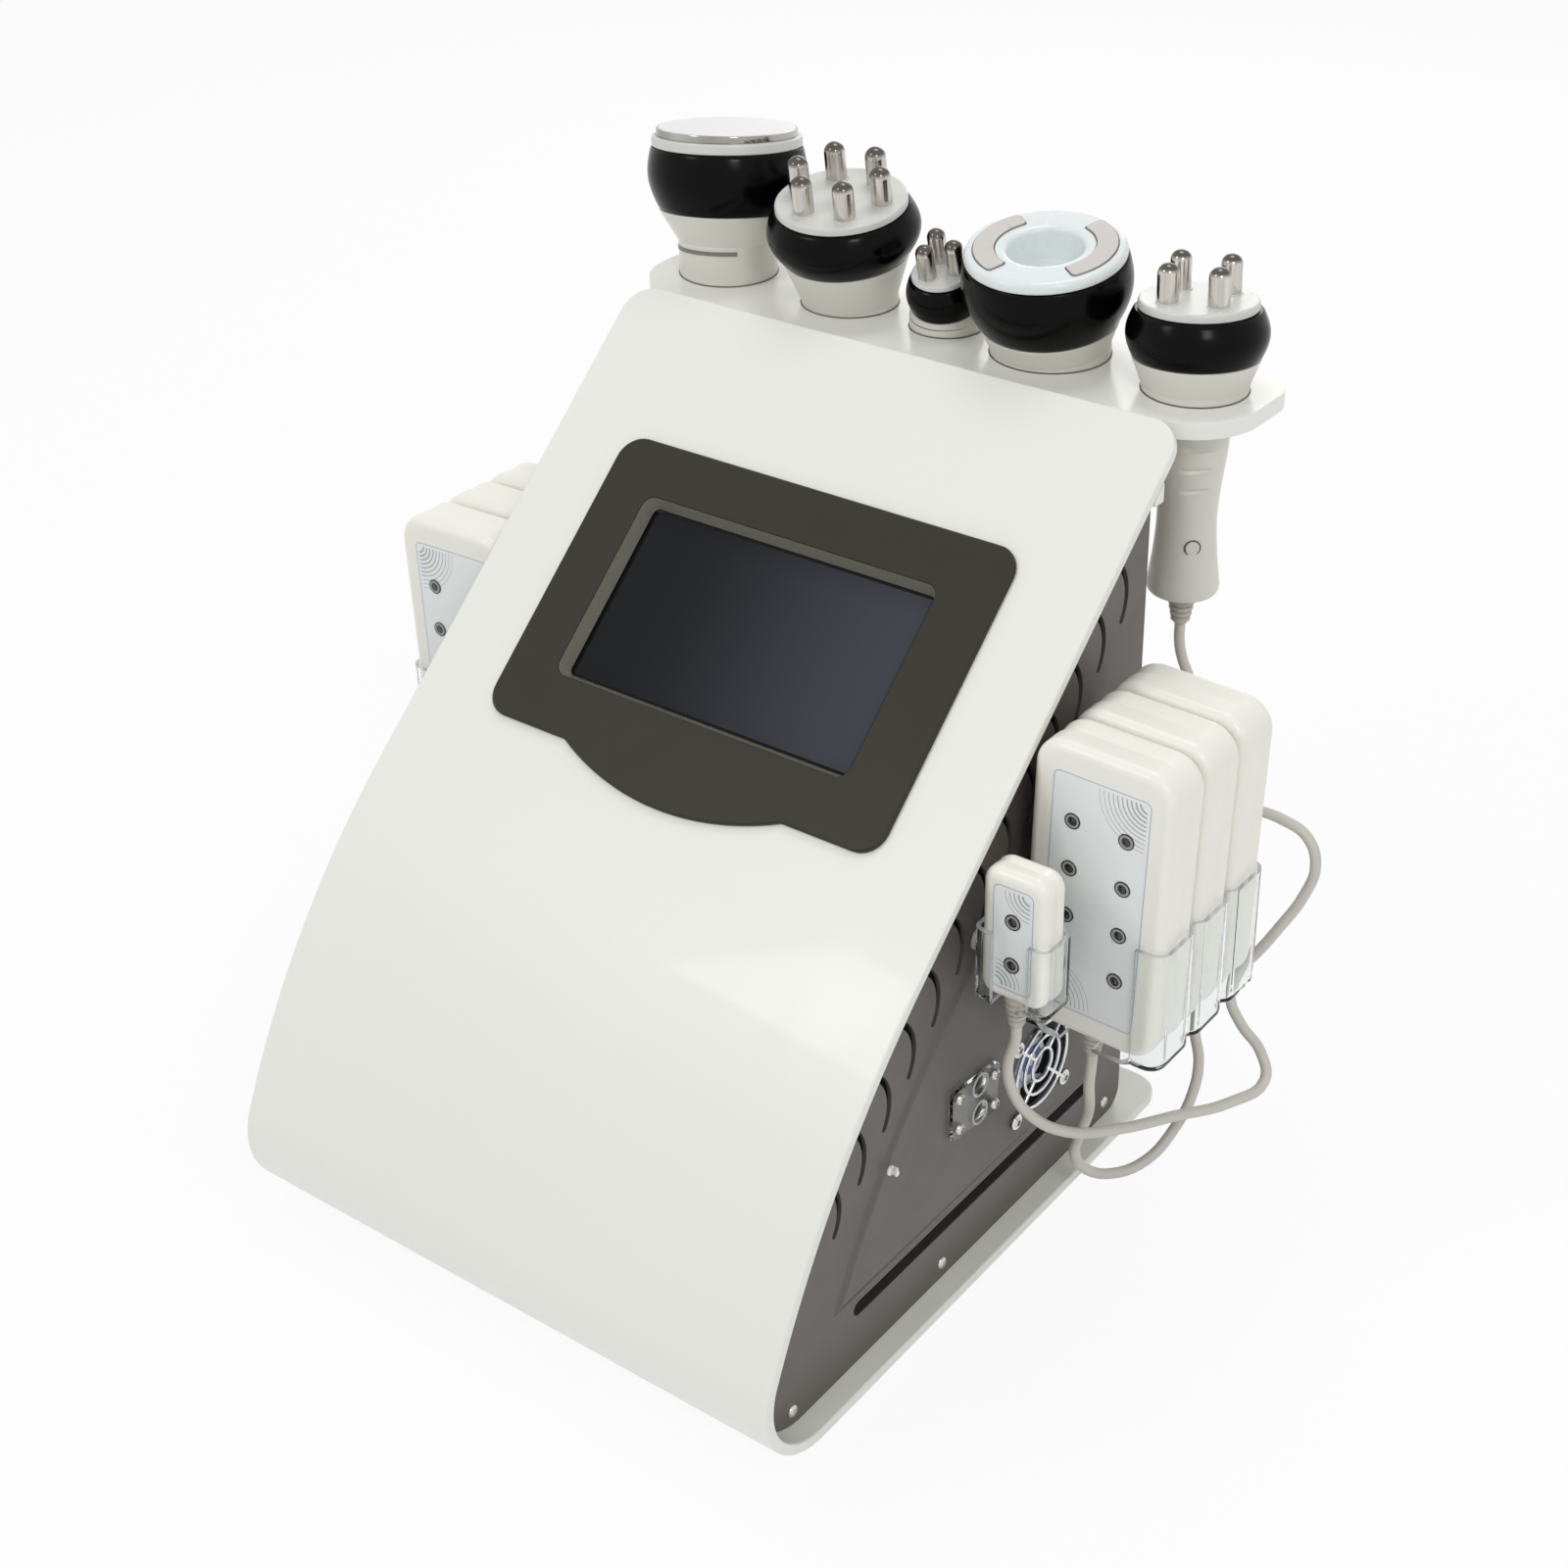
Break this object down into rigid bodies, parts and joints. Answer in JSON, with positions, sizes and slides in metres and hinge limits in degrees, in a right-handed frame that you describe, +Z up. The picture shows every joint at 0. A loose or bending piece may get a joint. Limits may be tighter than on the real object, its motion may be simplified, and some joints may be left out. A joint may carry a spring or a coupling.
{
  "type": "cavitation slimming machine",
  "caption": "Desktop body-shaping machine: white bent housing with slanted screen, handpieces standing in a rear shelf and laser pads in clear side holders.",
  "frame": {"origin": "middle of the machine's footprint on the surface it stands on, free cords left out", "axes": "+Z up, the screen faces -Y, +X to the right seen from the front"},
  "size_m": [0.4449, 0.3924, 0.4363],
  "materials": {
    "white_coat": "smooth satin powder coat",
    "grey_coat": "fine satin powder coat",
    "dark_bezel": "satin, fine bevel",
    "screen_glass": "polished, switched off",
    "zinc_sheet": "plain zinc sheet",
    "circuit_board": "solder-masked board",
    "black_plastic": "moulded black",
    "fan_white": "moulded",
    "chrome_wire": "bright plated wire",
    "clear_acrylic": "clear, polished edges",
    "grey_cord": "smooth matt jacket",
    "cream_plastic": "soft gloss moulding",
    "gloss_black": "high gloss",
    "polished_steel": "polished",
    "pale_grey_plastic": "satin moulding with metal poles",
    "grey_plastic": "satin moulding"
  },
  "bodies": {
    "housing": {"front_shell": "white_coat", "side_panel_right": "grey_coat", "side_panel_left": "grey_coat", "rear_panel": "grey_coat", "power_inlet": "black_plastic", "shelf_bracket": "white_coat", "handpiece_shelf": "white_coat", "screen_bezel": "dark_bezel", "touch_screen": "screen_glass", "display_module": "zinc_sheet", "control_board": "circuit_board", "power_supply": "zinc_sheet", "vacuum_pump": "black_plastic", "fan_frame": "black_plastic", "fan_guard": "chrome_wire", "cover_plate": "clear_acrylic", "pad_holder_right": "clear_acrylic", "pad_holder_left": "clear_acrylic", "small_holder_right": "clear_acrylic", "quad_pole_cord": "grey_cord", "quad_pole_cord_coil": "grey_cord", "quad_pole_cord_plug": "grey_cord", "small_pad_cord": "grey_cord", "small_pad_cord_coil": "grey_cord", "small_pad_cord_plug": "grey_cord", "laser_pad_cord": "grey_cord", "laser_pad_cord_coil": "grey_cord", "laser_pad_cord_plug": "grey_cord"},
    "cavitation_handpiece": {"cavitation_handle": "grey_plastic", "cavitation_grip": "gloss_black", "cavitation_head": "polished_steel"},
    "cavitation_push_button": {"cavitation_button": "grey_plastic"},
    "six_pole_handpiece": {"six_pole_handle": "grey_plastic", "six_pole_grip": "gloss_black", "six_pole_head": "pale_grey_plastic"},
    "six_pole_push_button": {"six_pole_button": "grey_plastic"},
    "tri_pole_handpiece": {"tri_pole_handle": "grey_plastic", "tri_pole_grip": "gloss_black", "tri_pole_head": "pale_grey_plastic"},
    "tri_pole_push_button": {"tri_pole_button": "grey_plastic"},
    "vacuum_handpiece": {"vacuum_handle": "grey_plastic", "vacuum_grip": "gloss_black", "vacuum_head": "pale_grey_plastic"},
    "vacuum_push_button": {"vacuum_button": "grey_plastic"},
    "quad_pole_handpiece": {"quad_pole_handle": "grey_plastic", "quad_pole_grip": "gloss_black", "quad_pole_head": "pale_grey_plastic"},
    "quad_pole_push_button": {"quad_pole_button": "grey_plastic"},
    "big_pad_right_1": {"laser_pad_right_1": "cream_plastic"},
    "big_pad_right_2": {"laser_pad_right_2": "cream_plastic"},
    "big_pad_right_3": {"laser_pad_right_3": "cream_plastic"},
    "little_pad_right": {"small_pad_right": "cream_plastic"},
    "big_pad_left_1": {"laser_pad_left_1": "cream_plastic"},
    "big_pad_left_2": {"laser_pad_left_2": "cream_plastic"},
    "big_pad_left_3": {"laser_pad_left_3": "cream_plastic"},
    "fan_wheel": {"fan_rotor": "fan_white"},
    "rocker": {"power_switch": "black_plastic"}
  },
  "joints": [
    {"name": "cavitation_lift", "type": "slide", "parent": "housing", "child": "cavitation_handpiece", "axis": [0, 0, 1], "range_m": [0, 0.14]},
    {"name": "cavitation_press", "type": "slide", "parent": "cavitation_handpiece", "child": "cavitation_push_button", "axis": [-0.515, 0.8572, 0], "range_m": [0, 0.001], "stiffness_N_per_m": 400, "springref_m": -0.0015},
    {"name": "six_pole_lift", "type": "slide", "parent": "housing", "child": "six_pole_handpiece", "axis": [0, 0, 1], "range_m": [0, 0.14]},
    {"name": "six_pole_press", "type": "slide", "parent": "six_pole_handpiece", "child": "six_pole_push_button", "axis": [-0.1392, 0.9903, 0], "range_m": [0, 0.001], "stiffness_N_per_m": 400, "springref_m": -0.0015},
    {"name": "tri_pole_lift", "type": "slide", "parent": "housing", "child": "tri_pole_handpiece", "axis": [0, 0, 1], "range_m": [0, 0.14]},
    {"name": "tri_pole_press", "type": "slide", "parent": "tri_pole_handpiece", "child": "tri_pole_push_button", "axis": [-0.1736, 0.9848, 0], "range_m": [0, 0.001], "stiffness_N_per_m": 400, "springref_m": -0.0015},
    {"name": "vacuum_lift", "type": "slide", "parent": "housing", "child": "vacuum_handpiece", "axis": [0, 0, 1], "range_m": [0, 0.14]},
    {"name": "vacuum_press", "type": "slide", "parent": "vacuum_handpiece", "child": "vacuum_push_button", "axis": [-0.0785, 0.9969, 0], "range_m": [0, 0.001], "stiffness_N_per_m": 400, "springref_m": -0.0015},
    {"name": "quad_pole_lift", "type": "slide", "parent": "housing", "child": "quad_pole_handpiece", "axis": [0, 0, 1], "range_m": [0, 0.14]},
    {"name": "quad_pole_press", "type": "slide", "parent": "quad_pole_handpiece", "child": "quad_pole_push_button", "axis": [-0.6691, 0.7431, 0], "range_m": [0, 0.001], "stiffness_N_per_m": 400, "springref_m": -0.0015},
    {"name": "big_pad_right_1_lift", "type": "slide", "parent": "housing", "child": "big_pad_right_1", "axis": [0.0297, 0, 0.9996], "range_m": [0, 0.075]},
    {"name": "big_pad_right_2_lift", "type": "slide", "parent": "housing", "child": "big_pad_right_2", "axis": [0.0297, 0, 0.9996], "range_m": [0, 0.075]},
    {"name": "big_pad_right_3_lift", "type": "slide", "parent": "housing", "child": "big_pad_right_3", "axis": [0.0297, 0, 0.9996], "range_m": [0, 0.075]},
    {"name": "little_pad_right_lift", "type": "slide", "parent": "housing", "child": "little_pad_right", "axis": [0, 0, 1], "range_m": [0, 0.05]},
    {"name": "big_pad_left_1_lift", "type": "slide", "parent": "housing", "child": "big_pad_left_1", "axis": [-0.0297, 0, 0.9996], "range_m": [0, 0.075]},
    {"name": "big_pad_left_2_lift", "type": "slide", "parent": "housing", "child": "big_pad_left_2", "axis": [-0.0297, 0, 0.9996], "range_m": [0, 0.075]},
    {"name": "big_pad_left_3_lift", "type": "slide", "parent": "housing", "child": "big_pad_left_3", "axis": [-0.0297, 0, 0.9996], "range_m": [0, 0.075]},
    {"name": "fan_spin", "type": "hinge", "parent": "housing", "child": "fan_wheel", "pos_m": [0.13, 0.02179, 0.0812], "axis": [1, 0, 0], "continuous": true},
    {"name": "rocker_tilt", "type": "hinge", "parent": "housing", "child": "rocker", "pos_m": [-0.055, 0.09909, 0.049], "axis": [1, 0, 0], "range_deg": [0, 20]}
  ]
}
